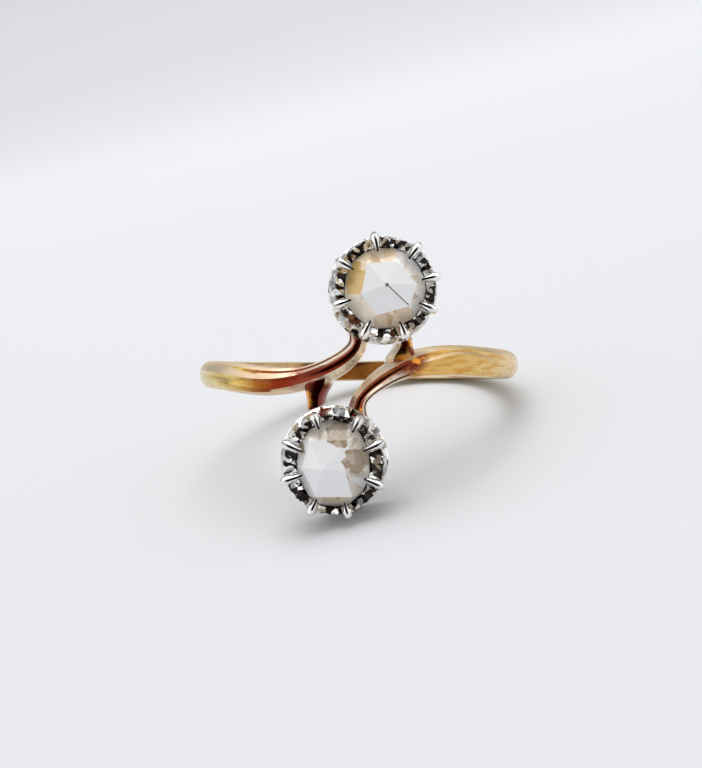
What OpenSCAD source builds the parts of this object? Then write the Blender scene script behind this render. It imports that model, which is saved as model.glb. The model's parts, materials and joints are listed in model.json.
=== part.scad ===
// A toi et moi ring in two metals: a gold shank whose shoulders sweep past each other at the front,
// and two white metal collets, each with eight claws and a rose cut stone.
// Millimetres. In the ring's own frame the finger hole runs along Z, the stones face -Y and +X is right.
// The whole ring is then turned into the pose in which it lies on a table, on the edge of the lower
// collet's base and the right of the shank's back, with the middle of the finger hole at the origin.

/* [Shank] */
// Inside diameter of the ring
finger_d = 17; // [15:0.1:21]
// Thickness of the shank at its sides
shank_t = 1.45; // [1.1:0.05:2]
// Width of the shank at its sides
shank_w = 1.7; // [1.3:0.05:2.4]
// Width of the arms that sweep past each other at the front
arm_w = 1.2; // [0.9:0.05:1.6]
// Width of the short branch below each shoulder
branch_w = 0.9; // [0.7:0.05:1.4]
// Distance of each short branch from the middle of the ring
branch_x = 2.85; // [2.4:0.05:3.1]

/* [Collets] */
// Sideways place of the upper collet
upper_x = 1.4; // [1:0.01:1.8]
// Height of the upper collet above the middle of the shank
upper_z = 4.52; // [4.3:0.01:5.2]
// Outside diameter of the upper collet
upper_d = 6.3; // [5.8:0.1:6.8]
// Angle by which the upper collet leans up
upper_rise = 1.5; // [-4:0.5:8]
// Angle by which the upper collet leans right
upper_turn = 3.5; // [-6:0.5:6]
// Sideways place of the lower collet
lower_x = -1.57; // [-1.8:0.01:-1]
// Height of the lower collet, which is below the middle of the shank
lower_z = -5.16; // [-5.6:0.01:-4.4]
// Outside diameter of the lower collet
lower_d = 6.25; // [5.8:0.05:6.8]
// Angle by which the lower collet leans up
lower_rise = -6; // [-8:0.5:4]
// Angle by which the lower collet leans right
lower_turn = -1; // [-6:0.5:6]
// Height of a collet from its base to its rim
collet_h = 2.75; // [2.4:0.05:3.4]
// Height of the base ring at the foot of a collet
base_ring_h = 0.5; // [0.3:0.05:0.7]
// Depth of the neck above the base ring
groove = 0.12; // [0.05:0.01:0.2]
// How far the rim is filed back between two claws
rim_cut = 0.14; // [0.05:0.01:0.25]
// How far the rim dips between two claws
rim_dip = 0.12; // [0:0.01:0.25]
// Depth of the bright cuts between two claws
bright_cut = 0.05; // [0:0.005:0.06]

/* [Claws] */
// Width of a claw
claw_w = 0.54; // [0.4:0.02:0.7]
// Height of a claw's ridge above its sides
claw_t = 0.32; // [0.2:0.01:0.4]
// How far a claw reaches over its stone
claw_reach = 0.26; // [0.1:0.02:0.35]

/* [Stones] */
// Diameter of the upper stone
upper_stone_d = 4.7; // [4.2:0.05:5]
// Width of the lower stone
lower_stone_w = 4.2; // [3.8:0.05:4.8]
// Length of the lower stone
lower_stone_l = 5.1; // [4.2:0.05:5.2]
// Height of the facets above a stone's edge
crown_h = 1.15; // [0.8:0.05:1.5]
// Thickness of a stone's edge
girdle_t = 0.25; // [0.2:0.01:0.35]
// Width of the seat that a stone stands on
stone_seat = 0.3; // [0.2:0.02:0.5]

/* [Fit] */
// Clearance between a stone and its collet
stone_gap = 0.03; // [0.02:0.01:0.08]
// Clearance between the shank and a collet
solder_gap = 0.03; // [0.02:0.01:0.08]
// Distance that the collets keep from the finger hole
finger_clear = 0.12; // [0.05:0.01:0.4]

/* [Rest] */
// How far the ring has rolled to its right on the table, which brings its weight between its contacts
rest_roll = 13.5; // [0:0.5:25]

/* [Hidden] */

gold = "goldenrod";
white_metal = "silver";
diamond = "aliceblue";

finger_r = finger_d / 2;
outer_r = finger_r + shank_t;
// Length of the cylinders that clear the finger hole and the collets' places, and their sides
past = finger_d + collet_h;
round_sides = 96;

// One row for each station of half the shank, from the back to the arm's tip, which ends in the collet.
// AZIMUTH is the angle round the finger from the front, in degrees, as seen on the left half.
// RISE is the station's height as a share of the collet's, and the two widths are shares of shank_w
// and arm_w. THICK is a share of shank_t. CREASE goes from the back's round section at 0 to the arm's
// creased one at 1, and CHAMFER does the same for the side towards the gap. RIDGE is the ridge's place
// across, as a share of the width, from -0.5 at the gap. The half that goes to the lower collet is turned
// half round to the right, and is a little wider at the shoulder.
AZIMUTH = 0;
RISE = 1;
SHANK_WIDTH = 2;
ARM_WIDTH = 3;
THICK = 4;
CREASE = 5;
CHAMFER = 6;
RIDGE = 7;
BACK_HALF = [
    [-180, 0.000, 0.76, 0.00, 0.86, 0.0, 0.0, 0.27],
    [-150, 0.000, 0.79, 0.00, 0.87, 0.0, 0.0, 0.27],
    [-120, -0.006, 0.89, 0.00, 0.92, 0.0, 0.0, 0.27],
    [-95, -0.015, 0.98, 0.00, 0.98, 0.1, 0.0, 0.27]
];
UPPER_HALF = [
    [-66, -0.038, 1.03, 0.00, 1.00, 0.5, 0.1, 0.20],
    [-51, -0.082, 1.05, 0.00, 1.00, 0.8, 0.2, 0.12],
    [-40, -0.122, 1.03, 0.00, 1.02, 1.0, 0.35, 0.08],
    [-31.5, -0.137, 0.95, 0.00, 1.03, 1.0, 0.55, 0.10],
    [-25.5, -0.130, 0.70, 0.24, 1.04, 1.0, 0.8, 0.14],
    [-20.5, -0.108, 0.45, 0.51, 1.04, 1.0, 1.0, 0.18],
    [-16.3, -0.070, 0.20, 0.82, 1.04, 1.0, 1.0, 0.22],
    [-12.2, -0.020, 0.00, 1.10, 1.04, 1.0, 1.0, 0.26],
    [-9, 0.034, 0.00, 1.10, 1.03, 1.0, 1.0, 0.27],
    [-6.2, 0.093, 0.00, 1.08, 1.03, 1.0, 1.0, 0.27],
    [-4, 0.152, 0.00, 1.04, 1.02, 1.0, 1.0, 0.27],
    [-2.2, 0.213, 0.00, 1.01, 1.01, 1.0, 1.0, 0.27],
    [-1, 0.275, 0.00, 0.97, 1.00, 1.0, 1.0, 0.27],
    [-0.3, 0.349, 0.00, 0.97, 0.98, 1.0, 1.0, 0.27],
    [0, 0.433, 0.00, 1.06, 0.96, 1.0, 1.0, 0.27],
    [0, 0.520, 0.00, 1.28, 0.95, 1.0, 1.0, 0.27],
    [0, 0.610, 0.00, 1.60, 0.95, 1.0, 1.0, 0.27]
];
LOWER_HALF = [
    [-66, -0.036, 1.07, 0.00, 1.00, 0.5, 0.1, 0.12],
    [-50, -0.058, 1.08, 0.00, 1.00, 0.8, 0.2, -0.10],
    [-39.5, -0.074, 1.09, 0.00, 1.02, 1.0, 0.3, -0.20],
    [-32, -0.076, 1.06, 0.00, 1.03, 1.0, 0.5, -0.14],
    [-26, -0.068, 0.82, 0.27, 1.04, 1.0, 0.75, -0.06],
    [-21, -0.050, 0.55, 0.55, 1.04, 1.0, 1.0, 0.02],
    [-16.3, -0.012, 0.25, 0.83, 1.04, 1.0, 1.0, 0.10],
    [-11.8, 0.046, 0.00, 1.06, 1.03, 1.0, 1.0, 0.18],
    [-8.6, 0.097, 0.00, 1.01, 1.03, 1.0, 1.0, 0.23],
    [-5.8, 0.155, 0.00, 0.94, 1.02, 1.0, 1.0, 0.26],
    [-3.5, 0.212, 0.00, 0.87, 1.01, 1.0, 1.0, 0.27],
    [-1.7, 0.268, 0.00, 0.83, 1.00, 1.0, 1.0, 0.27],
    [-0.3, 0.322, 0.00, 0.83, 0.99, 1.0, 1.0, 0.27],
    [0.6, 0.380, 0.00, 0.86, 0.98, 1.0, 1.0, 0.27],
    [1.1, 0.446, 0.00, 0.95, 0.96, 1.0, 1.0, 0.27],
    [1.3, 0.520, 0.00, 1.15, 0.95, 1.0, 1.0, 0.27],
    [1.4, 0.610, 0.00, 1.45, 0.95, 1.0, 1.0, 0.27]
];

// One row for each point of the shank's section, once round. ACROSS is a share of the width and
// OUT a share of the thickness, at the back of the ring and in the arms.
BACK_ACROSS = 0;
BACK_OUT = 1;
ARM_ACROSS = 2;
ARM_OUT = 3;
SHANK_SECTION = [
    [-0.40, -0.12, -0.42, -0.12],
    [-0.48, 0.22, -0.49, 0.20],
    [-0.50, 0.42, -0.50, 0.45],
    [-0.48, 0.60, -0.49, 0.64],
    [-0.42, 0.77, -0.34, 0.79],
    [-0.31, 0.90, -0.17, 0.95],
    [-0.16, 0.98, -0.06, 0.925],
    [-0.05, 1.00, 0.06, 0.915],
    [0.05, 1.00, 0.17, 0.94],
    [0.16, 0.98, 0.27, 1.00],
    [0.31, 0.90, 0.33, 0.93],
    [0.42, 0.77, 0.38, 0.86],
    [0.48, 0.60, 0.43, 0.87],
    [0.50, 0.42, 0.485, 0.80],
    [0.48, 0.22, 0.50, 0.30],
    [0.40, -0.12, 0.43, -0.12]
];

// The section of a short branch. AWAY, from the ring's middle, is a share of branch_w, and OUT
// a share of shank_t.
AWAY = 0;
OUT = 1;
BRANCH_SECTION = [
    [-0.46, -0.35],
    [-0.50, 0.42],
    [-0.46, 0.66],
    [-0.34, 0.90],
    [-0.10, 0.95],
    [0.22, 0.95],
    [0.42, 0.82],
    [0.50, 0.52],
    [0.46, -0.35]
];

// One row for each station of a branch: its place as a share of the way from the shoulder to the collet,
// its widths towards the ring's middle and away from it, as shares of branch_w, and its height, as a share
// of its section's
ALONG = 0;
INNER = 1;
OUTER = 2;
TALL = 3;
BRANCH = [
    [0.00, 2.70, 1.60, 0.93],
    [0.20, 2.40, 1.45, 0.98],
    [0.31, 1.90, 1.30, 1.00],
    [0.41, 1.48, 1.16, 1.00],
    [0.52, 1.20, 1.05, 0.99],
    [0.66, 1.04, 1.00, 0.97],
    [0.82, 1.06, 1.06, 0.95],
    [0.93, 1.25, 1.25, 0.95],
    [1.00, 1.45, 1.45, 0.95]
];
// A branch starts at this height inside its shoulder, and ends this far inside the collet's wall
branch_root_z = -0.35;
branch_end = 0.5;

// Angles of the eight claws round each collet, seen from the front, from the right and anticlockwise
UPPER_CLAWS = [11, 50, 101, 150, 199, 244, 291, 334];
LOWER_CLAWS = [24, 59, 110, 155, 197, 243, 285, 335];
// The columns between two claws, as shares of the way, and how deep each one's bright cut is
PLACE = 0;
CUT = 1;
BAY_COLUMNS = [
    [0.00, 0.0],
    [0.10, -0.7],
    [0.20, 1.0],
    [0.29, -0.5],
    [0.40, 0.9],
    [0.51, -1.0],
    [0.60, 0.6],
    [0.70, -0.8],
    [0.82, 1.0],
    [0.91, -0.6]
];

// One row for each point of a collet's section above its base ring, up the wall, over the rim and down
// the bevel. SPAN goes from the stone's edge at 0 to the neck at 1, and LIFT from the base ring's top at -1
// past the height of the stone's edge at 0 to the rim at 1.
// The others are shares of rim_cut, rim_dip and bright_cut, which is cut from the wall where it is above 0
// and from the bevel where it is below.
SPAN = 0;
LIFT = 1;
BY_FILED = 2;
BY_DIP = 3;
BY_CUT = 4;
COLLET_SECTION = [
    [0.97, -0.81, 0.0, 0.0, 0.4],
    [1.00, -0.08, 0.7, 0.0, 0.9],
    [1.00, 0.84, 1.0, 1.0, 1.0],
    [0.93, 1.00, 1.0, 1.0, 0.3],
    [0.80, 0.94, 0.8, 1.0, -0.5],
    [0.48, 0.58, 0.4, 0.5, -1.0],
    [0.14, 0.32, 0.0, 0.2, -0.7]
];

// One row for each station of a claw, from the base ring up the wall, over the rim and onto the stone.
// SPAN and LIFT are as above, but below 0 SPAN is a share of claw_reach. LEAN is the angle at which the
// ridge stands up from the station, from 0 straight outward to 90 straight up. BROAD is a share of claw_w,
// HIGH of claw_t, and DEEP is how far the claw goes down into the wall, as a share of claw_t too.
LEAN = 2;
BROAD = 3;
HIGH = 4;
DEEP = 5;
CLAW = [
    [0.88, -0.97, 0, 0.66, 0.42, 0.64],
    [0.88, -0.37, 0, 0.76, 0.60, 0.64],
    [0.90, 0.20, 6, 0.92, 0.84, 0.7],
    [0.90, 0.76, 24, 1.04, 1.02, 0.9],
    [0.80, 1.02, 50, 1.04, 1.04, 1.3],
    [0.56, 1.12, 78, 0.96, 0.94, 1.5],
    [0.26, 1.10, 96, 0.82, 0.84, 1.6],
    [-0.10, 1.06, 104, 0.66, 0.72, 0.56],
    [-0.62, 1.06, 108, 0.46, 0.56, 0.4],
    [-1.00, 1.05, 112, 0.20, 0.34, 0.24]
];
// A claw's section: shares of half its width, and of its ridge's height above its sides
CLAW_SECTION = [
    [-1, 0],
    [-0.87, 0.42],
    [-0.58, 0.77],
    [-0.21, 0.97],
    [0, 1],
    [0.21, 0.97],
    [0.58, 0.77],
    [0.87, 0.42],
    [1, 0]
];
// Half the width of a claw's underside, as a share of half the claw's width
claw_under = 0.8;

// The six inner corners of each stone's facets: the angle and the share of the stone's radius there
CORNER_ANGLE = 0;
CORNER_SHARE = 1;
UPPER_CORNERS = [[5, 0.76], [65, 0.68], [127, 0.74], [196, 0.62], [250, 0.72], [321, 0.74]];
LOWER_CORNERS = [[56, 0.72], [133, 0.84], [184, 0.86], [240, 0.88], [299, 0.88], [336, 0.34]];
// Where the facets meet at the top, as shares of the stone's half width and half length
UPPER_APEX = [0.02, 0.05];
LOWER_APEX = [-0.3, -0.08];
// How far a stone's top stands above the collet's rim
crown_over = 0.5;
// How far a stone's edge rises at each corner, and the least thickness that it keeps midway between two
corner_rise = 0.12;
thin_edge = 0.03;
// Rounding of the base ring's edges
base_edge = 0.08;
// Height of the bevel's lower edge above the stone's edge
bevel_lip = 0.17;
// Half the angle that a corner's own facet takes at the stone's edge
corner_facet = 9;
// How much lower than the top a corner lies if it is right at the stone's edge, as a share of crown_h
corner_drop = 0.55;

// A point on the spline through four rows, between the second and the third
function spline(a, b, c, d, t) =
    b + 0.5 * t * (c - a + t * (2 * a - 5 * b + 4 * c - d + t * (3 * (b - c) + d - a)));

function row(table, i) = table[max(0, min(len(table) - 1, i))];

// The table with more rows between its own, at most max_turn degrees apart
max_turn = 6;
function steps(table, i) = max(2, ceil((table[i + 1][AZIMUTH] - table[i][AZIMUTH]) / max_turn));
function smooth_rows(table) = [
    for (i = [0:len(table) - 2], n = [0:steps(table, i) - 1])
        spline(row(table, i - 1), table[i], table[i + 1], row(table, i + 2), n / steps(table, i)),
    table[len(table) - 1]
];

// A point of the unrolled finger surface, at an arc length and a height, put out to a radius
function rolled(arc, z, r) =
    let (turn = arc / outer_r * 180 / PI)
    [r * sin(turn), -r * cos(turn), z];

// The arms' ridge is where their section has its full thickness
arm_ridge = [for (p = SHANK_SECTION) if (p[ARM_OUT] == 1) p[ARM_ACROSS]][0];

// Where a place across the band comes to lie when the ridge moves and both edges stay
function moved(place, ridge) =
    let (half = 1 / 2)
    place < arm_ridge
        ? (place + half) * (ridge + half) / (arm_ridge + half) - half
        : half - (half - place) * (half - ridge) / (half - arm_ridge);

// The direction across a path, from its neighbouring points as [arc, z]
function across(before, after) =
    let (d = after - before)
    [-d[1], d[0]] / norm(d);

function half_turn(p) = [-p[0], p[1], -p[2]];
function reversed(list) = [for (i = [len(list) - 1:-1:0]) list[i]];

// The faces of a closed tube through sections that have as many points each
function tube_faces(sections, points) = concat(
    [[for (p = [0:points - 1]) p]],
    [
        for (s = [0:sections - 2], p = [0:points - 1])
            let (q = (p + 1) % points, a = s * points, b = a + points)
            each [[a + p, b + p, b + q], [a + p, b + q, a + q]]
    ],
    [[for (p = [points - 1:-1:0]) (sections - 1) * points + p]]
);

// The sections of half the shank from the back to the tip, for a collet at the given height
function half_sections(table, collet_z) =
    let (
        rows = smooth_rows(concat(BACK_HALF, table)),
        path = [for (r = rows) [r[AZIMUTH] * PI / 180 * outer_r, r[RISE] * collet_z]],
        last = len(rows) - 1
    )
    [
        for (i = [0:last])
            let (
                r = rows[i],
                up = across(path[max(0, i - 1)], path[min(last, i + 1)]),
                wide = r[SHANK_WIDTH] * shank_w + r[ARM_WIDTH] * arm_w
            )
            [
                for (p = SHANK_SECTION)
                    let (
                        arm = max(0, min(1, r[p[ARM_ACROSS] < 0 ? CHAMFER : CREASE])),
                        w = wide * moved(p[BACK_ACROSS] * (1 - arm) + p[ARM_ACROSS] * arm, r[RIDGE]),
                        t = r[THICK] * (p[BACK_OUT] * (1 - arm) + p[ARM_OUT] * arm)
                    )
                    rolled(path[i][0] + w * up[0], path[i][1] + w * up[1], finger_r + t * shank_t)
            ]
    ];

// The band with both shoulders and arms, from the tip on the upper collet round the back to the other tip
module band() {
    left = reversed(half_sections(UPPER_HALF, upper_z));
    right = [for (s = half_sections(LOWER_HALF, -lower_z)) reversed([for (p = s) half_turn(p)])];
    sections = concat(left, [for (i = [1:len(right) - 1]) right[i]]);
    polyhedron(
        points = [for (s = sections) each s],
        faces = tube_faces(len(sections), len(SHANK_SECTION))
    );
}

// The left shoulder's branch, down to a collet that has its middle this far left of and below the ring's
module branch(collet_x, collet_z, collet_r) {
    wall_z = collet_z - sqrt(collet_r * collet_r - (branch_x - collet_x) * (branch_x - collet_x));
    end_z = -wall_z - branch_end;
    sections = [
        for (r = BRANCH)
            [
                for (p = BRANCH_SECTION)
                    rolled(
                        -branch_x - p[AWAY] * r[p[AWAY] < 0 ? INNER : OUTER] * branch_w,
                        branch_root_z + r[ALONG] * (end_z - branch_root_z),
                        finger_r + p[OUT] * r[TALL] * shank_t
                    )
            ]
    ];
    polyhedron(
        points = [for (s = sections) each s],
        faces = tube_faces(len(sections), len(BRANCH_SECTION))
    );
}

// The middle of a collet's base. A leaning collet stands further out, so that its edge stays clear
// of the finger hole
function base_centre(x, z, d, rise, turn) =
    [x, -finger_r - finger_clear - d / 2 * sin(norm([rise, turn])), z];

// Puts a collet's frame, with its base at the origin and its stone up, at its place on the ring
module on_ring(x, z, d, rise, turn) {
    translate(base_centre(x, z, d, rise, turn))
        rotate([90, 0, 0])
            rotate([-rise, turn, 0])
                children();
}

// The same for a point
function placed(p, x, z, d, rise, turn) =
    let (
        a = [p[0], p[1] * cos(rise) + p[2] * sin(rise), p[2] * cos(rise) - p[1] * sin(rise)],
        b = [a[0] * cos(turn) + a[2] * sin(turn), a[1], a[2] * cos(turn) - a[0] * sin(turn)]
    )
    base_centre(x, z, d, rise, turn) + [b[0], -b[2], b[1]];

module at_upper() {
    on_ring(upper_x, upper_z, upper_d, upper_rise, upper_turn) children();
}

module at_lower() {
    on_ring(lower_x, lower_z, lower_d, lower_rise, lower_turn) children();
}

module shank() {
    color(gold)
        lying()
            difference() {
                union() {
                    band();
                    branch(-lower_x, -lower_z, lower_d / 2);
                    rotate([0, 180, 0])
                        branch(upper_x, upper_z, upper_d / 2);
                }
                cylinder(r = finger_r, h = past, center = true, $fn = round_sides);
                at_upper()
                    cylinder(r = upper_d / 2 + solder_gap, h = past, center = true, $fn = round_sides);
                at_lower()
                    cylinder(r = lower_d / 2 + solder_gap, h = past, center = true, $fn = round_sides);
            }
}

function polar(a, r, z) = [r * cos(a), r * sin(a), z];

// The radius of an ellipse with these half axes, at an angle
function oval_r(half, a) = half[0] * half[1] / norm([half[1] * cos(a), half[0] * sin(a)]);

girdle_h = collet_h + crown_over - crown_h;
seat_h = girdle_h - girdle_t - stone_gap;

// The height of a point that LIFT gives
function lifted(lift) = girdle_h + lift * (lift < 0 ? girdle_h - base_ring_h : collet_h - girdle_h);

// The section of a collet at one column, from the base's inner edge round the outside and back, as
// [radius, height]. bay goes from 0 at a claw to 1 midway to the next, and cut is the bright cut's depth.
function collet_section(wall_r, stone_r, bay, cut) =
    let (
        edge_r = stone_r + stone_gap,
        span = wall_r - groove - edge_r,
        filed = bay * rim_cut,
        dip = bay * rim_dip
    )
    concat(
        [
            [stone_r - stone_seat, 0],
            [wall_r - base_edge, 0],
            [wall_r, base_edge],
            [wall_r, base_ring_h - base_edge],
            [wall_r - base_edge, base_ring_h]
        ],
        [
            for (p = COLLET_SECTION)
                [
                    edge_r + p[SPAN] * span - p[BY_FILED] * filed - max(0, p[BY_CUT]) * cut,
                    lifted(p[LIFT]) - p[BY_DIP] * dip + min(0, p[BY_CUT]) * cut
                ]
        ],
        [
            [edge_r, girdle_h + bevel_lip],
            [edge_r, seat_h],
            [stone_r - stone_seat, seat_h]
        ]
    );

// The wall of a collet in its own frame: a ring of columns from each claw to the next
module collet_wall(wall_r, half, claws) {
    n = len(claws);
    columns = [
        for (i = [0:n - 1], c = BAY_COLUMNS)
            let (
                way = claws[(i + 1) % n] - claws[i] + (i == n - 1 ? 360 : 0),
                a = claws[i] + way * c[PLACE],
                bay = 4 * c[PLACE] * (1 - c[PLACE])
            )
            [for (p = collet_section(wall_r, oval_r(half, a), bay, c[CUT] * bright_cut)) polar(a, p[0], p[1])]
    ];
    rows = len(columns[0]);
    polyhedron(
        points = [for (c = columns) each c],
        faces = [
            for (c = [0:len(columns) - 1], p = [0:rows - 1])
                let (q = (p + 1) % rows, a = c * rows, b = (c + 1) % len(columns) * rows)
                each [[a + p, a + q, b + q], [a + p, b + q, b + p]]
        ]
    );
}

// One claw in its collet's frame, with its sides sunk into the wall
module claw(wall_r, stone_r) {
    edge_r = stone_r + stone_gap;
    span = wall_r - groove - edge_r;
    sections = [
        for (c = CLAW)
            let (
                r = edge_r + c[SPAN] * (c[SPAN] < 0 ? claw_reach : span),
                z = lifted(c[LIFT]),
                half_w = c[BROAD] * claw_w / 2,
                ridge = [for (p = CLAW_SECTION) [p[0] * half_w, p[1] * c[HIGH] * claw_t]],
                under_w = claw_under * half_w,
                under = -c[DEEP] * claw_t
            )
            [
                for (p = concat(ridge, [[under_w, under], [-under_w, under]]))
                    [r + p[1] * cos(c[LEAN]), p[0], z + p[1] * sin(c[LEAN])]
            ]
    ];
    // Each length also reaches back to the middle of the section before it, so that it joins the last one
    for (i = [0:len(sections) - 2])
        hull_of(concat(sections[i], sections[i + 1], [middle(sections[max(0, i - 1)])]));
}

function middle(points) = [for (p = points) 1] * points / len(points);

// The least convex solid that holds all the points
module hull_of(points) {
    hull()
        polyhedron(points = points, faces = [[for (i = [0:len(points) - 1]) i]]);
}

// A collet in its own frame: its wall and its claws
module collet(wall_r, half, claws) {
    collet_wall(wall_r, half, claws);
    for (a = claws)
        rotate([0, 0, a])
            claw(wall_r, oval_r(half, a));
}

module upper_setting() {
    color(white_metal)
        lying()
            at_upper()
                collet(upper_d / 2, [upper_stone_d, upper_stone_d] / 2, UPPER_CLAWS);
}

module lower_setting() {
    color(white_metal)
        lying()
            at_lower()
                collet(lower_d / 2, [lower_stone_w, lower_stone_l] / 2, LOWER_CLAWS);
}

// The height at x and y of the plane through three points
function plane_z(a, b, c, x, y) =
    let (n = cross(b - a, c - a))
    a[2] - (n[0] * (x - a[0]) + n[1] * (y - a[1])) / n[2];

// A rose cut stone in its collet's frame: six facets round the top, six sloping sides of three
// triangles each, a small facet at each corner, and a flat back
module rose_cut(half, corners, apex) {
    n = len(corners);
    inner = [
        for (c = corners)
            polar(
                c[CORNER_ANGLE],
                c[CORNER_SHARE] * oval_r(half, c[CORNER_ANGLE]),
                girdle_h + crown_h * (1 - corner_drop * c[CORNER_SHARE] * c[CORNER_SHARE])
            )
    ];
    back_z = seat_h + stone_gap;
    corner_z = girdle_h + corner_rise;
    before = [for (c = corners) c[CORNER_ANGLE] - corner_facet];
    after = [for (c = corners) c[CORNER_ANGLE] + corner_facet];
    edge_before = [for (a = before) polar(a, oval_r(half, a), corner_z)];
    edge_after = [for (a = after) polar(a, oval_r(half, a), corner_z)];
    edge_mid = [
        for (i = [0:n - 1])
            let (
                j = (i + 1) % n,
                a = (corners[i][CORNER_ANGLE] + corners[j][CORNER_ANGLE] + (i == n - 1 ? 360 : 0)) / 2,
                m = polar(a, oval_r(half, a), 0),
                side = (edge_after[i] + edge_before[j]) / 2
            )
            [m[0], m[1], max(back_z + thin_edge, plane_z(inner[i], inner[j], side, m[0], m[1]))]
    ];
    edge = [for (i = [0:n - 1]) each [edge_before[i], edge_after[i], edge_mid[i]]];
    top = n;
    upper = n + 1;
    lower = upper + 3 * n;
    polyhedron(
        points = concat(
            inner,
            [[apex[0] * half[0], apex[1] * half[1], girdle_h + crown_h]],
            edge,
            [for (p = edge) [p[0], p[1], back_z]]
        ),
        faces = concat(
            [
                for (i = [0:n - 1])
                    let (j = (i + 1) % n, e = upper + 3 * i, f = upper + 3 * j)
                    each [
                        [top, j, i],
                        [i, e + 1, e],
                        [i, e + 2, e + 1],
                        [i, j, e + 2],
                        [j, f, e + 2]
                    ]
            ],
            [
                for (k = [0:3 * n - 1])
                    let (m = (k + 1) % (3 * n))
                    each [[upper + k, upper + m, lower + m], [upper + k, lower + m, lower + k]]
            ],
            [[for (k = [0:3 * n - 1]) lower + k]]
        )
    );
}

module upper_stone() {
    color(diamond)
        lying()
            at_upper()
                rose_cut([upper_stone_d, upper_stone_d] / 2, UPPER_CORNERS, UPPER_APEX);
}

module lower_stone() {
    color(diamond)
        lying()
            at_lower()
                rose_cut([lower_stone_w, lower_stone_l] / 2, LOWER_CORNERS, LOWER_APEX);
}

// How far the points reach in a direction
function furthest(points, way) = max([for (p = points) p * way]);
shank_points = [for (s = half_sections(LOWER_HALF, -lower_z), p = s) half_turn(p)];
base_step = 3;
base_points = [
    for (a = [0:base_step:360 - base_step], h = [base_edge, base_ring_h - base_edge])
        placed(polar(a, lower_d / 2, h), lower_x, lower_z, lower_d, lower_rise, lower_turn)
];

// The way down in the ring's own frame when it leans back by this tilt and has rolled to its right
function down(tilt) = [sin(rest_roll), cos(rest_roll) * sin(tilt), -cos(rest_roll) * cos(tilt)];

// The tilt at which the back of the shank and the lower collet both touch the table, by halving the range
function shank_lower(tilt) = furthest(shank_points, down(tilt)) > furthest(base_points, down(tilt));
function table_tilt(low, high, n) =
    let (mid = (low + high) / 2)
    n == 0 ? mid : (shank_lower(mid) ? table_tilt(low, mid, n - 1) : table_tilt(mid, high, n - 1));
most_tilt = 45;
halvings = 20;
rest_tilt = table_tilt(0, most_tilt, halvings);

// Turns the ring from its own frame into the pose in which it lies
module lying() {
    rotate([-rest_tilt, rest_roll, 0])
        children();
}

shank();
upper_setting();
lower_setting();
upper_stone();
lower_stone();
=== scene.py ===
"""A toi et moi ring on a white sweep: yellow and white gold, two rose cut diamonds, soft studio light."""

import json
import math

import bpy
from mathutils import Matrix, Vector


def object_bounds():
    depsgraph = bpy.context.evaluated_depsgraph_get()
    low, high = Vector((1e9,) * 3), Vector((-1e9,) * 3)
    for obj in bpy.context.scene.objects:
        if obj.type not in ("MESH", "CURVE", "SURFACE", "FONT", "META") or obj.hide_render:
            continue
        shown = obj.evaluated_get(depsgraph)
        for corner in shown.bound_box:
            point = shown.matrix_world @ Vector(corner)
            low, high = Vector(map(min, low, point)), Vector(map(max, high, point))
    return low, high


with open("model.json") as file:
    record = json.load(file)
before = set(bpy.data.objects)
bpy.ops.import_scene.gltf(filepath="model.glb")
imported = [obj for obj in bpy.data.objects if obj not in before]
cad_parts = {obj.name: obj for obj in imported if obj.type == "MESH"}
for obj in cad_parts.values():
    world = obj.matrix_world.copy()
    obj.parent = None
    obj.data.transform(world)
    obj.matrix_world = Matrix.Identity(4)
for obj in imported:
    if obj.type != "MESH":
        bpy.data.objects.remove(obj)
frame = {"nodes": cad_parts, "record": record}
cad_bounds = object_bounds()

MM = 0.001

# The ring's own frame has the finger hole along Z and the stones towards -Y. The finger hole's axis in the
# record gives how the ring leans back and has rolled where it lies.
hole_axis = Vector(frame["record"]["mounts"][0]["axis"])
rest_tilt = math.asin(hole_axis.y)
rest_roll = math.atan2(hole_axis.x, hole_axis.z)
LYING = Matrix.Rotation(rest_roll, 3, "Y") @ Matrix.Rotation(-rest_tilt, 3, "X")
RING_FRAME = (Matrix.Scale(MM, 4) @ LYING.to_4x4()).inverted()

# The finger hole's radius, how far the collets stand clear of it, and the hoop's thickness
FINGER_R = frame["record"]["mounts"][0]["dims"]["r_mm"]
FINGER_CLEAR = 0.12
HOOP_THICK = 1.45
OUTER_R = FINGER_R + HOOP_THICK

# Each collet as in the part's source: its place across and up, its diameter, how it leans up and right, and
# the angles of its claws, from the right and anticlockwise. The upper one's dark cells are brown round the
# brown angle, partly tarnish and partly a painted reflection of the gold arms.
COLLETS = {
    "upper": {
        "x": 1.4, "z": 4.52, "d": 6.3, "rise": 1.5, "turn": 3.5,
        "claws": (11, 50, 101, 150, 199, 244, 291, 334), "rust": 220,
    },
    "lower": {
        "x": -1.57, "z": -5.16, "d": 6.25, "rise": -6.0, "turn": -1.0,
        "claws": (24, 59, 110, 155, 197, 243, 285, 335),
    },
}

floor_z = cad_bounds[0].z


def in_world(x, y, z):
    """A point of the ring's own frame, in millimetres, where it lies."""
    return LYING @ Vector((x, y, z)) * MM


def collet_matrix(c):
    """From the world to a collet's frame in millimetres, with its base at the origin and its stone up."""
    lean = math.radians(math.hypot(c["rise"], c["turn"]))
    base = Vector((c["x"], -FINGER_R - FINGER_CLEAR - c["d"] / 2 * math.sin(lean), c["z"]))
    rise = Matrix.Rotation(math.radians(-c["rise"]), 3, "X")
    turn = Matrix.Rotation(math.radians(c["turn"]), 3, "Y")
    out = (Matrix.Rotation(math.radians(90), 3, "X") @ turn @ rise).to_4x4()
    out.translation = base
    return (Matrix.Scale(MM, 4) @ LYING.to_4x4() @ out).inverted()


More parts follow.
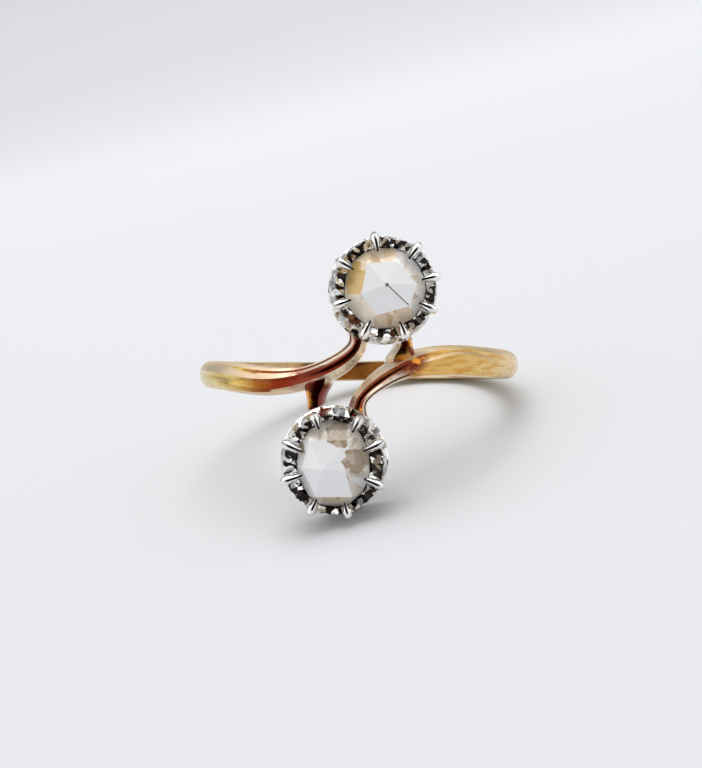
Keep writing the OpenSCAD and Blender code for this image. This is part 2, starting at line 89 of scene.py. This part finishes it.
# Camera: the photo's place and angle, worked out from the ring's outline in it
CAMERA_AT = (-0.518, -130.0, -0.864)
CAMERA_ROLL = math.radians(1.2)
FOCAL_PX = 2080
FRAME_H_PX = 768
SENSOR = 36.0
CLIP = (1 * MM, 5000 * MM)


def make_camera():
    data = bpy.data.cameras.new("camera")
    data.sensor_width = SENSOR
    data.lens = FOCAL_PX * SENSOR / FRAME_H_PX
    data.clip_start, data.clip_end = CLIP
    cam = bpy.data.objects.new("camera", data)
    right = Vector((math.cos(CAMERA_ROLL), 0, -math.sin(CAMERA_ROLL)))
    up = Vector((math.sin(CAMERA_ROLL), 0, math.cos(CAMERA_ROLL)))
    turn = LYING @ Matrix((right, up, right.cross(up))).transposed()
    cam.matrix_world = Matrix.Translation(in_world(*CAMERA_AT)) @ turn.to_4x4()
    bpy.context.scene.collection.objects.link(cam)
    bpy.context.scene.camera = cam
    return cam


camera = make_camera()
TO_CAMERA = camera.matrix_world.translation.normalized()


class Nodes:
    """Short calls for building a node tree. Inputs are numbers, tuples or other nodes' sockets."""

    def __init__(self, tree):
        self.tree = tree
        tree.nodes.clear()

    def add(self, kind, inputs=None, **settings):
        node = self.tree.nodes.new(kind)
        for name, value in settings.items():
            setattr(node, name, value)
        for name, value in (inputs or {}).items():
            self.feed(node.inputs[name], value)
        return node

    def feed(self, socket, value):
        if isinstance(value, bpy.types.NodeSocket):
            self.tree.links.new(value, socket)
        else:
            socket.default_value = value

    def math(self, operation, a, b=0.0, c=0.0, clamp=False):
        node = self.add("ShaderNodeMath", {0: a, 1: b, 2: c}, operation=operation, use_clamp=clamp)
        return node.outputs[0]

    def plus(self, a, b):
        return self.math("ADD", a, b)

    def times(self, a, b):
        return self.math("MULTIPLY", a, b)

    def most(self, a, b):
        """The greater of the two, or the second one where there is no first yet."""
        return b if a is None else self.math("MAXIMUM", a, b)

    def length(self, x, y):
        return self.math("SQRT", self.plus(self.times(x, x), self.times(y, y)))

    def vector(self, operation, a, b=(0, 0, 0)):
        node = self.add("ShaderNodeVectorMath", {0: a, 1: b}, operation=operation)
        return node.outputs["Value" if operation in ("DOT_PRODUCT", "DISTANCE") else "Vector"]

    def point(self, x=0.0, y=0.0, z=0.0):
        return self.add("ShaderNodeCombineXYZ", {0: x, 1: y, 2: z}).outputs[0]

    def ramp(self, value, stops, stepped=False):
        node = self.add("ShaderNodeValToRGB", {"Fac": value})
        node.color_ramp.interpolation = "CONSTANT" if stepped else "LINEAR"
        elements = node.color_ramp.elements
        while len(elements) < len(stops):
            elements.new(0.5)
        for element, (at, color) in zip(elements, stops):
            element.position = at
            element.color = (*color, 1)
        return node.outputs["Color"]

    def span(self, value, low, high, to_low=0.0, to_high=1.0):
        """Eases from to_low, where the value is low, to to_high, where it is high."""
        limits = {"From Min": low, "From Max": high, "To Min": to_low, "To Max": to_high}
        node = self.add("ShaderNodeMapRange", {"Value": value, **limits}, interpolation_type="SMOOTHSTEP")
        return node.outputs["Result"]

    def mix(self, share, a, b, blend="MIX"):
        node = self.add("ShaderNodeMix", data_type="RGBA", blend_type=blend)
        sockets = {s.name: s for s in node.inputs if s.enabled}
        self.feed(sockets["Factor"], share)
        for name, color in (("A", a), ("B", b)):
            self.feed(sockets[name], color if isinstance(color, bpy.types.NodeSocket) else (*color, 1))
        return [s for s in node.outputs if s.enabled][0]

    def noise(self, vector, scale, detail=2.0, roughness=0.5):
        inputs = {"Vector": vector, "Scale": scale, "Detail": detail, "Roughness": roughness}
        return self.add("ShaderNodeTexNoise", inputs).outputs["Fac"]

    def cells(self, vector, scale):
        """A colour by chance for each small cell."""
        return self.add("ShaderNodeTexVoronoi", {"Vector": vector, "Scale": scale}).outputs["Color"]

    def parts(self, color):
        return self.add("ShaderNodeSeparateColor", {0: color}).outputs

    def surface(self, inputs):
        shader = self.add("ShaderNodeBsdfPrincipled", inputs)
        self.add("ShaderNodeOutputMaterial", {"Surface": shader.outputs[0]})


def new_material(name):
    material = bpy.data.materials.new(name)
    material.use_nodes = True
    return material, Nodes(material.node_tree)


def place(n, matrix):
    """The shaded point in another frame, from the object's own, with each row of the matrix as a plane."""
    point = n.add("ShaderNodeTexCoord").outputs["Object"]
    return [n.plus(n.vector("DOT_PRODUCT", point, tuple(row[:3])), row[3]) for row in matrix[:3]]


# Below, each NOISE holds a noise's scale, its detail and, where it isn't 0.5, its roughness. Each SPAN holds
# the two values between which something eases in, and where it doesn't go from 0 to 1, what it goes from and
# to. Places are in millimetres, in the ring's own frame or the collet's.

# The gold's colours, with their places from -1 at the ring's left side to 1 at its right: on its broad
# faces, whose dark red in the middle is partly a reddish tint and partly a painted reflection of the dark
# room, and on its edges, pale with a painted highlight. The cloud noise moves them.
GOLD_AND_DARK_REFLECTION_STOPS = (
    (-1.00, (0.78, 0.67, 0.38)),
    (-0.82, (0.80, 0.68, 0.30)),
    (-0.70, (0.62, 0.42, 0.12)),
    (-0.62, (0.36, 0.13, 0.025)),
    (-0.50, (0.24, 0.035, 0.012)),
    (-0.28, (0.21, 0.016, 0.008)),
    (-0.05, (0.34, 0.06, 0.03)),
    (0.10, (0.36, 0.08, 0.03)),
    (0.22, (0.42, 0.17, 0.05)),
    (0.36, (0.76, 0.47, 0.14)),
    (0.70, (0.80, 0.54, 0.20)),
    (1.00, (0.88, 0.70, 0.40)),
)
EDGE_HIGHLIGHT_STOPS = (
    (-1.00, (0.80, 0.66, 0.44)),
    (-0.50, (0.80, 0.60, 0.40)),
    (-0.25, (0.99, 0.87, 0.70)),
    (0.25, (0.99, 0.87, 0.70)),
    (0.50, (0.74, 0.54, 0.30)),
    (1.00, (0.78, 0.62, 0.38)),
)
GOLD_CLOUD_NOISE = (0.55, 3)
CLOUD_SHIFT = 0.16
# A face is broad where it faces outward by more than BROAD_IN_ARMS, or by more than BROAD_IN_SHOULDERS past
# SHOULDER_SPAN on either side, and doesn't face up there. The other faces, those facing up among them, take
# the edges' colour with its painted highlight.
SHOULDER_SPAN = (2.6, 4.0)
BROAD_IN_ARMS = 0.80
BROAD_IN_SHOULDERS = 0.58
BROAD_FADE = 0.13
TOP_FACE_SPAN = (0.25, 0.45)

# Orange and dark red patches on the gold's outward faces, the dark red a painted reflection of the dark room:
# the middle of each place across and up, its radius, and how much of it is orange, as a share. The core share
# below is the part of the radius that is patched in full.
ORANGE_AND_RED_PLACES = (
    (2.75, 0.75, 1.6, 0.42),
    (-2.9, -0.75, 1.6, 0.20),
    (-3.05, -1.75, 0.7, 0.65),
    (0.0, 2.4, 1.0, 0.30),
    (0.5, -2.5, 1.2, 0.52),
)
GOLD_ORANGE = (0.85, 0.34, 0.05)
DARK_REFLECTION_RED = (0.24, 0.045, 0.025)
PLACE_CORE = 0.5
PLACE_FACE_SPAN = (0.5, 0.8)
ORANGE_NOISE = (1.5, 1)
ORANGE_SPAN = (0.98, 1.06)
SPOT_NOISE = (1.1, 1)
SPOT_SPAN = (0.26, 0.40)
# The right flank of the left branch, patched too, in orange and painted dark red: its middle across and up,
# its reach, and how far it faces right
PATCHED_FLANK = (-2.0, -1.6)
FLANK_SPAN = (1.05, 0.6)
FLANK_FACE_SPAN = (0.25, 0.45)

# Streaks along the band on the broad faces, and a cloudy tone everywhere
STREAK = (0.84, 0.68, 0.44)
STRETCH = (0.22, 0.6, 3)
STREAK_NOISE = (1.9, 4, 0.6)
STREAK_SPAN = (0.42, 0.62)
MOTTLE_NOISE = (2.2, 3, 0.6)
MOTTLE_SPAN = (0.48, 0.66, 0.0, 0.25)

# The outside of the hoop behind the finger, and the hoop's inside from its middle to its sides, stained in
# clouds and along its upper edge, and with painted shade behind the arms, more so to the left
GOLD_OUTSIDE = (0.72, 0.55, 0.27)
BEHIND_SPAN = (-3.0, 4.0)
INSIDE_STOPS = (
    (0.14, (0.76, 0.32, 0.07)),
    (0.28, (0.80, 0.52, 0.24)),
    (0.50, (0.80, 0.66, 0.42)),
)
INSIDE_SPAN = (-0.5, -0.8)
INSIDE_STAIN = (0.42, 0.14, 0.04)
STAIN_CLOUD_SPAN = (0.40, 0.70, 0.0, 0.6)
STAIN_EDGE_SPAN = (0.45, 0.75, 0.0, 0.85)
INSIDE_SHADE = (0.09, 0.035, 0.02)
DARK_LEFT_SPAN = (-4.6, -3.2)
DARK_RIGHT_SPAN = (2.0, 0.8)
DARK_SLOPE = -0.25
DARK_SPAN = (0.15, 0.45, 0.0, 0.9)

# The gold's roughness from its fine scratches, its wear, and its edges and top faces, and the scratches' bump
SCRATCH_NOISE = (9, 4, 0.65)
SCRATCH_SPAN = (0.35, 0.7, 0.1, 0.2)
WEAR_NOISE = (1.3, 3, 0.6)
WEAR_SPAN = (0.45, 0.75, 0.0, 0.12)
EDGE_ROUGH_SPAN = (0.85, 0.6, 0.0, 0.16)
TOP_ROUGH = 0.2
SCRATCH_STRENGTH = 0.18
SCRATCH_DEPTH = 0.02 * MM


def orange_and_dark_red(n, color, front, point, at_front, outward, rightward):
    """Paints the orange patches, and the dark red of a painted reflection of the dark room."""
    near_places = None
    orange = None
    for px, pz, reach, orange_share in ORANGE_AND_RED_PLACES:
        near = n.span(n.vector("DISTANCE", front, (px, pz, 0)), reach, reach * PLACE_CORE)
        near_places = n.most(near_places, near)
        orange = n.most(orange, n.times(near, orange_share))
    turned = n.span(n.plus(n.noise(point, *ORANGE_NOISE), orange), *ORANGE_SPAN)
    patch_color = n.mix(turned, DARK_REFLECTION_RED, GOLD_ORANGE)
    spots = n.times(n.times(near_places, at_front), n.span(n.noise(point, *SPOT_NOISE), *SPOT_SPAN))
    flank = n.span(n.vector("DISTANCE", front, (*PATCHED_FLANK, 0)), *FLANK_SPAN)
    flank = n.times(flank, n.times(n.span(rightward, *FLANK_FACE_SPAN), at_front))
    return n.mix(n.most(n.times(spots, n.span(outward, *PLACE_FACE_SPAN)), flank), color, patch_color)


def hoop_inside(n, x, z, cloud):
    """The colour of the hoop's inside, with painted shade behind the arms."""
    color = n.ramp(n.math("DIVIDE", n.math("ABSOLUTE", x), OUTER_R), INSIDE_STOPS)
    color = n.mix(n.span(cloud, *STAIN_CLOUD_SPAN), color, INSIDE_STAIN)
    color = n.mix(n.span(z, *STAIN_EDGE_SPAN), color, INSIDE_STAIN)
    # Painted shade on the inside behind the arms, towards the upper edge
    behind_arms = n.times(n.span(x, *DARK_LEFT_SPAN), n.span(x, *DARK_RIGHT_SPAN))
    upper = n.span(n.math("MULTIPLY_ADD", x, DARK_SLOPE, z), *DARK_SPAN)
    return n.mix(n.times(behind_arms, upper), color, INSIDE_SHADE)


def yellow_gold():
    """Worn yellow gold, dark red in the middle of the front, partly a reddish tint and partly a painted
    reflection of the dark room, with a painted highlight on its edges.
    """
    material, n = new_material("yellow_gold")
    x, y, z = place(n, RING_FRAME)
    point = n.point(x, y, z)
    front = n.point(x, z)
    at_front = n.math("LESS_THAN", y, 0.0)
    normal = n.add("ShaderNodeNewGeometry").outputs["Normal"]
    n_x, n_y, n_z = (n.vector("DOT_PRODUCT", normal, tuple(LYING.col[k])) for k in range(3))
    outward = n.math("DIVIDE", n.plus(n.times(n_x, x), n.times(n_y, y)), n.length(x, y))

    cloud = n.noise(point, *GOLD_CLOUD_NOISE)
    shift = n.times(n.math("SUBTRACT", cloud, 0.5), CLOUD_SHIFT)
    side = n.plus(n.math("DIVIDE", x, OUTER_R), shift)
    along = n.math("MULTIPLY_ADD", side, 0.5, 0.5)
    # The broad faces' dark red in the middle is partly a painted reflection of the dark room, and the edges'
    # pale colour a painted highlight
    broad, edge_highlights = (
        n.ramp(along, [(0.5 + 0.5 * at, c) for at, c in stops]) for stops in (GOLD_AND_DARK_REFLECTION_STOPS, EDGE_HIGHLIGHT_STOPS)
    )
    in_shoulder = n.span(n.math("ABSOLUTE", x), *SHOULDER_SPAN)
    broad_from = n.math("MULTIPLY_ADD", in_shoulder, BROAD_IN_SHOULDERS - BROAD_IN_ARMS, BROAD_IN_ARMS)
    on_top = n.times(n.span(n_z, *TOP_FACE_SPAN), in_shoulder)
    on_broad = n.span(n.math("SUBTRACT", outward, broad_from), 0.0, BROAD_FADE)
    on_broad = n.times(on_broad, n.math("SUBTRACT", 1.0, on_top))
    color = n.mix(on_broad, edge_highlights, broad)
    # Orange patches, and dark red as a painted reflection of the dark room
    color = orange_and_dark_red(n, color, front, point, at_front, outward, n_x)

    stretched = n.point(*(n.times(value, by) for value, by in zip((x, y, z), STRETCH)))
    streaks = n.times(on_broad, n.span(n.noise(stretched, *STREAK_NOISE), *STREAK_SPAN))
    mottle = n.span(n.noise(point, *MOTTLE_NOISE), *MOTTLE_SPAN)
    color = n.mix(n.most(streaks, mottle), color, STREAK, "MULTIPLY")
    color = n.mix(n.span(y, *BEHIND_SPAN), color, GOLD_OUTSIDE)
    color = n.mix(n.span(outward, *INSIDE_SPAN), color, hoop_inside(n, x, z, cloud))

    scratches = n.noise(stretched, *SCRATCH_NOISE)
    wear = n.span(n.noise(point, *WEAR_NOISE), *WEAR_SPAN)
    roughness = n.plus(n.span(scratches, *SCRATCH_SPAN), wear)
    roughness = n.plus(roughness, n.span(outward, *EDGE_ROUGH_SPAN))
    roughness = n.math("MULTIPLY_ADD", on_top, TOP_ROUGH, roughness)
    bump = {"Strength": SCRATCH_STRENGTH, "Distance": SCRATCH_DEPTH, "Height": scratches}
    bumped = n.add("ShaderNodeBump", bump).outputs[0]
    n.surface({"Base Color": color, "Metallic": 1.0, "Roughness": roughness, "Normal": bumped})
    return material


WHITE_GOLD = (0.89, 0.88, 0.86)
WHITE_GOLD_ROUGHNESS = 0.08
# The small facets of the bright cuts: how many lie along a radius's length round the collet, how much longer
# they are along the radius and down the wall, and how far they tip
CUT_SCALE = 11
CUT_LONG = 0.22
CUT_DOWN = 0.05
CUT_TIP = 0.9
# Half the width of a claw at its root, and over how much the cuts fade in beside it
CLAW_HALF = 0.27
CLAW_FADE = 0.06
# Dark cells, partly tarnish and partly a painted dark reflection: their colour, the chance values from which
# a cell is dark, and the radii between which that fades to the rim's polished outer edge
TARNISH_AND_DARK_REFLECTION = (0.030, 0.025, 0.023)
DARK_CELL_SPAN = (0.36, 0.40)
POLISHED_SPAN = (2.80, 3.04, 1.0, 0.2)
# Where the upper collet's dark cells are brown, partly tarnish and partly a painted reflection of the gold
# arms:
# a noise, higher towards the brown angle
BROWN_TARNISH_AND_REFLECTION = (0.14, 0.06, 0.03)
BROWN_NOISE = (2.5, 2)
BROWN_TURN = 0.22
BROWN_SPAN = (0.70, 0.76)
# The painted dark reflection along the inner half of each claw's ridge: how far beside it it fades, where it
# fades in going inwards from the collet's rim, and how high over the collet's base it starts
RIDGE_REFLECTION_SPAN = (0.055 * 1.5, 0.055)
RIDGE_REFLECTION_RUN_SPAN = (2.95, 2.75)
RIDGE_REFLECTION_FROM_Z = 2.2


def toward(n, angle, x, y):
    """How far a point lies towards an angle."""
    aim = math.radians(angle)
    return n.plus(n.times(x, math.cos(aim)), n.times(y, math.sin(aim)))


def off_claws(n, c, round_x, round_y, radius):
    """How far the shaded point lies beside the nearest claw's middle, in millimetres."""
    nearest = None
    for angle in c["claws"]:
        nearest = n.most(nearest, toward(n, angle, round_x, round_y))
    sine = n.math("SQRT", n.math("SUBTRACT", 1.0, n.times(nearest, nearest), clamp=True))
    return n.times(radius, sine)


def white_gold(which):
    """Polished white metal, with small bright cuts between the claws, some of them dark with tarnish and
    painted dark reflection, and a painted dark reflection along each claw's ridge.
    """
    c = COLLETS[which]
    material, n = new_material("white_gold_" + which)
    x, y, z = place(n, collet_matrix(c))
    radius = n.length(x, y)
    round_x = n.math("DIVIDE", x, radius)
    round_y = n.math("DIVIDE", y, radius)
    around = n.point(round_x, round_y, n.plus(n.times(radius, CUT_LONG), n.times(z, CUT_DOWN)))
    cell = n.cells(around, CUT_SCALE)
    beside = off_claws(n, c, round_x, round_y, radius)
    bay = n.span(beside, CLAW_HALF, CLAW_HALF + CLAW_FADE)
    tip = n.vector("MULTIPLY", n.vector("SUBTRACT", cell, (0.5, 0.5, 0.5)), n.times(bay, CUT_TIP))
    normal = n.add("ShaderNodeNewGeometry").outputs["Normal"]
    tipped = n.vector("NORMALIZE", n.vector("ADD", normal, tip))
    # Dark cells in the bays: partly tarnish, partly a painted dark reflection
    dark = n.times(bay, n.span(n.parts(cell)[0], *DARK_CELL_SPAN))
    dark = n.times(dark, n.span(radius, *POLISHED_SPAN))
    # A painted dark reflection along the inner half of each claw's ridge
    ridge_reflection = n.times(n.span(beside, *RIDGE_REFLECTION_SPAN), n.span(radius, *RIDGE_REFLECTION_RUN_SPAN))
    dark = n.most(dark, n.times(ridge_reflection, n.math("GREATER_THAN", z, RIDGE_REFLECTION_FROM_Z)))
    dark_tone = TARNISH_AND_DARK_REFLECTION
    # Brown on the upper collet: partly tarnish, partly a painted reflection of the gold arms
    if "rust" in c:
        turn = n.times(toward(n, c["rust"], round_x, round_y), BROWN_TURN)
        dark_tone = n.mix(n.span(n.plus(n.noise(around, *BROWN_NOISE), turn), *BROWN_SPAN), TARNISH_AND_DARK_REFLECTION, BROWN_TARNISH_AND_REFLECTION)
    color = n.mix(dark, WHITE_GOLD, dark_tone)
    n.surface(
        {"Base Color": color, "Metallic": 1.0, "Roughness": WHITE_GOLD_ROUGHNESS, "Normal": tipped}
    )
    return material


# A stone is nearly opaque, and painted clear white, as a reflection of the white room, in the facets that
# face along the collet's axis
STONE = {"Roughness": 0.02, "IOR": 1.6, "Transmission Weight": 0.06}
STONE_CLEAR = (0.975, 0.98, 0.99)
CLEAR_SPAN = (0.8, 0.9)
# The painted reflections in each stone's outer facets, a tone for each way a facet faces: where each one
# starts round the stone, in degrees from the right and anticlockwise, with its colour
FACET_REFLECTION_TONES = {
    "upper": (
        (0, (0.90, 0.84, 0.76)),
        (16, (0.95, 0.95, 0.96)),
        (68, (0.90, 0.74, 0.54)),
        (128, (0.76, 0.52, 0.20)),
        (193, (1.00, 0.88, 0.75)),
        (253, (1.00, 0.82, 0.60)),
        (318, (0.90, 0.86, 0.80)),
    ),
    "lower": (
        (0, (0.84, 0.78, 0.68)),
        (60, (0.84, 0.80, 0.73)),
        (160, (0.93, 0.93, 0.93)),
        (240, (0.84, 0.74, 0.60)),
        (300, (0.80, 0.78, 0.76)),
    ),
}
# Dark and light patches in the outer facets, painted reflections of the metal behind the stone, and how far
# the patches are drawn out along the radius
PATCH_SCALE = 3.0
PATCH_LONG = 0.45
PATCH_DARK = (0.62, 0.46, 0.31)
PATCH_DARK_SPAN = (0.45, 0.95, 0.0, 0.75)
PATCH_LIGHT = (1.0, 0.95, 0.87)
PATCH_LIGHT_SPAN = (0.62, 0.95, 0.0, 0.55)
# Beige clouds in the lower stone: the middle of each, across and up from the stone's own, and its radius
LOWER_CLOUDS = ((0.35, 1.75, 0.72), (1.30, 0.20, 0.78), (-1.95, 1.05, 0.4))
CLOUD_FADE = 0.06
CLOUD_TONE = (0.40, 0.30, 0.20)
CLOUD_LIGHT = (0.58, 0.49, 0.38)
CLOUD_LIGHT_SPAN = (0.2, 0.8)
CLOUD_CELLS = 2.6
RAGGED_NOISE = (1.6, 3, 0.6)
RAGGED = 0.9
# The dark line from the upper stone's top towards one corner: its start and end, and how it fades beside it.
# Then the brown mark where it starts.
LINE_FROM = (0.05, 0.12)
LINE_TO = (1.28, -1.03)
LINE_SPAN = (0.044, 0.022)
MARK_SPAN = (0.16, 0.16 * 0.3)
MARK_TONE = (0.16, 0.10, 0.06)


def clouds(n, x, y, color):
    """Paints the lower stone's beige clouds."""
    point = n.point(x, y)
    ragged = n.times(n.math("SUBTRACT", n.noise(point, *RAGGED_NOISE), 0.5), RAGGED)
    light = n.span(n.parts(n.cells(point, CLOUD_CELLS))[0], *CLOUD_LIGHT_SPAN)
    tone = n.mix(light, CLOUD_TONE, CLOUD_LIGHT)
    for cx, cy, r in LOWER_CLOUDS:
        away = n.plus(n.vector("DISTANCE", point, (cx, cy, 0)), ragged)
        color = n.mix(n.span(away, r, r - CLOUD_FADE), color, tone)
    return color


def dark_line(n, x, y, color):
    """Paints the upper stone's dark line and the small brown mark where it starts."""
    start = Vector(LINE_FROM)
    along = Vector(LINE_TO) - start
    length = along.length
    along.normalize()
    dx = n.math("SUBTRACT", x, start.x)
    dy = n.math("SUBTRACT", y, start.y)
    run = n.plus(n.times(dx, along.x), n.times(dy, along.y))
    aside = n.math("ABSOLUTE", n.math("SUBTRACT", n.times(dx, along.y), n.times(dy, along.x)))
    within = n.times(n.math("GREATER_THAN", run, 0.0), n.math("LESS_THAN", run, length))
    line = n.times(within, n.span(aside, *LINE_SPAN))
    mark = n.span(n.length(dx, dy), *MARK_SPAN)
    return n.mix(n.most(line, mark), color, MARK_TONE)


def diamond(which):
    """A rose cut stone: painted clear white in the middle, with painted reflections of the metal behind it in
    the outer facets.
    """
    material, n = new_material("diamond_" + which)
    matrix = collet_matrix(COLLETS[which])
    x, y, _ = place(n, matrix)
    into = matrix.to_3x3().normalized()
    normal = n.add("ShaderNodeNewGeometry").outputs["True Normal"]
    across, up, along = (n.vector("DOT_PRODUCT", normal, tuple(into[k])) for k in range(3))
    turn = n.math("FRACT", n.math("DIVIDE", n.math("ARCTAN2", up, across), 2 * math.pi))
    # Painted reflections: each outer facet's tone by the way it faces
    tones = n.ramp(turn, [(at / 360, tone) for at, tone in FACET_REFLECTION_TONES[which]], stepped=True)
    long = n.point(z=n.times(n.length(x, y), PATCH_LONG))
    around = n.vector("NORMALIZE", n.point(x, y))
    # Painted dark and light reflections of the metal behind the stone
    patch = n.parts(n.cells(n.vector("ADD", around, long), PATCH_SCALE))
    tones = n.mix(n.span(patch[0], *PATCH_DARK_SPAN), tones, PATCH_DARK, "MULTIPLY")
    tones = n.mix(n.span(patch[1], *PATCH_LIGHT_SPAN), tones, PATCH_LIGHT)
    # Painted white reflection on the facets that face along the axis
    color = n.mix(n.span(along, *CLEAR_SPAN), tones, STONE_CLEAR)
    color = clouds(n, x, y, color) if which == "lower" else dark_line(n, x, y, color)
    n.surface({"Base Color": color, **STONE})
    return material


# How close corners are welded, and up to which edge angle each metal is shaded smooth, in degrees
WELD = 0.002 * MM
SHANK_SMOOTH = 32
SETTING_SMOOTH = 28


def smooth(obj, angle):
    """Welds the mesh's corners and shades it smooth up to an edge angle, without changing its shape."""
    tree = bpy.data.node_groups.new("smooth_" + obj.name, "GeometryNodeTree")
    for way in ("INPUT", "OUTPUT"):
        tree.interface.new_socket("Geometry", in_out=way, socket_type="NodeSocketGeometry")
    n = Nodes(tree)
    given = n.add("NodeGroupInput").outputs[0]
    bare = n.add("GeometryNodeRemoveAttribute", {"Geometry": given, "Name": "custom_normal"}).outputs[0]
    joined = n.add("GeometryNodeMergeByDistance", {"Geometry": bare, "Distance": WELD}).outputs[0]
    rounded = n.add(
        "GeometryNodeSetShadeSmooth", {"Geometry": joined, "Shade Smooth": True}, domain="FACE"
    ).outputs[0]
    edge_angle = n.add("GeometryNodeInputMeshEdgeAngle").outputs["Unsigned Angle"]
    flat_enough = n.add("FunctionNodeCompare", {0: edge_angle, 1: angle}, operation="LESS_EQUAL")
    creased = n.add(
        "GeometryNodeSetShadeSmooth",
        {"Geometry": rounded, "Selection": True, "Shade Smooth": flat_enough.outputs[0]},
        domain="EDGE",
    )
    n.add("NodeGroupOutput", {0: creased.outputs[0]})
    obj.modifiers.new("smooth", "NODES").node_group = tree


def dress(node, material, angle=None):
    """Gives a node its material, and smooth shading up to an edge angle unless its facets are flat."""
    obj = frame["nodes"][node]
    obj.data.materials.clear()
    obj.data.materials.append(material)
    if angle is not None:
        smooth(obj, math.radians(angle))


dress("shank", yellow_gold(), SHANK_SMOOTH)
for which in COLLETS:
    dress(which + "_setting", white_gold(which), SETTING_SMOOTH)
    dress(which + "_stone", diamond(which))

# The white sweep on which the ring lies: flat, then bending up far behind it. Its white is painted a little
# brighter in a strip of light behind the ring and greyer with painted shade past that, with places along its
# depth as shares of FLOOR_RUN, from FLOOR_NEAR in front of the ring, both in millimetres.
FLOOR_WHITE = (0.72, 0.731, 0.748)
FLOOR_ROUGHNESS = 0.6
FLOOR_NEAR = 100.0
FLOOR_RUN = 400.0
FLOOR_LIGHT_STOPS = (
    (0.15, (0.885, 0.885, 0.885)),
    (0.29, (0.918, 0.918, 0.918)),
    (0.40, (0.950, 0.950, 0.950)),
    (0.47, (1.0, 1.0, 1.0)),
    (0.495, (1.0, 1.0, 1.0)),
    (0.55, (0.913, 0.913, 0.913)),
    (0.62, (0.874, 0.874, 0.874)),
    (0.85, (0.925, 0.925, 0.925)),
)
SWEEP_W = 6000 * MM
SWEEP_NEAR = -3000 * MM
SWEEP_BEND = 420 * MM
SWEEP_R = 300 * MM
SWEEP_H = 700 * MM
SWEEP_STEPS = 24


def sweep():
    profile = [(SWEEP_NEAR, 0.0), (SWEEP_BEND, 0.0)]
    for k in range(1, SWEEP_STEPS + 1):
        a = math.radians(90) * k / SWEEP_STEPS
        profile.append((SWEEP_BEND + SWEEP_R * math.sin(a), SWEEP_R * (1 - math.cos(a))))
    profile.append((SWEEP_BEND + SWEEP_R, SWEEP_H))
    verts = [(side * SWEEP_W / 2, y, floor_z + z) for y, z in profile for side in (-1, 1)]
    faces = [(2 * k, 2 * k + 1, 2 * k + 3, 2 * k + 2) for k in range(len(profile) - 1)]
    mesh = bpy.data.meshes.new("sweep")
    mesh.from_pydata(verts, [], faces)
    mesh.shade_smooth()
    obj = bpy.data.objects.new("sweep", mesh)
    bpy.context.scene.collection.objects.link(obj)
    material, n = new_material("sweep")
    depth = place(n, Matrix.Scale(1 / MM, 4))[1]
    # Painted light in a strip behind the ring, and painted shade past it
    tone = n.ramp(n.math("MULTIPLY_ADD", depth, 1 / FLOOR_RUN, FLOOR_NEAR / FLOOR_RUN), FLOOR_LIGHT_STOPS)
    color = n.mix(1.0, FLOOR_WHITE, tone, "MULTIPLY")
    n.surface({"Base Color": color, "Roughness": FLOOR_ROUGHNESS})
    mesh.materials.append(material)


sweep()

# The room: white all round, and dark where the photographer stands, between these angles from the camera
ROOM_WHITE = (1.0, 1.0, 1.01)
ROOM_DARK = (0.015, 0.013, 0.012)
ROOM_DARK_SPAN = (math.cos(math.radians(43)), math.cos(math.radians(24)))
ROOM_STRENGTH = 1.12


def room():
    world = bpy.data.worlds.new("room")
    world.use_nodes = True
    bpy.context.scene.world = world
    n = Nodes(world.node_tree)
    way = n.add("ShaderNodeTexCoord").outputs["Generated"]
    ahead = n.vector("DOT_PRODUCT", way, tuple(TO_CAMERA))
    color = n.mix(n.span(ahead, *ROOM_DARK_SPAN), ROOM_WHITE, ROOM_DARK)
    light = n.add("ShaderNodeBackground", {"Color": color, "Strength": ROOM_STRENGTH})
    n.add("ShaderNodeOutputWorld", {"Surface": light.outputs[0]})


room()

# A round lamp over the ring, aimed at it: its place and width in metres, and its power in watts
LAMP_AT = Vector((0.02, 0.06, 0.35))
LAMP_W = 0.32
LAMP_POWER = 0.6


def overhead():
    data = bpy.data.lights.new("overhead", "AREA")
    data.shape = "DISK"
    data.size = LAMP_W
    data.energy = LAMP_POWER
    obj = bpy.data.objects.new("overhead", data)
    obj.location = LAMP_AT
    obj.rotation_euler = (-LAMP_AT).to_track_quat("-Z", "Y").to_euler()
    bpy.context.scene.collection.objects.link(obj)


overhead()

bpy.context.scene.view_settings.view_transform = "Standard"
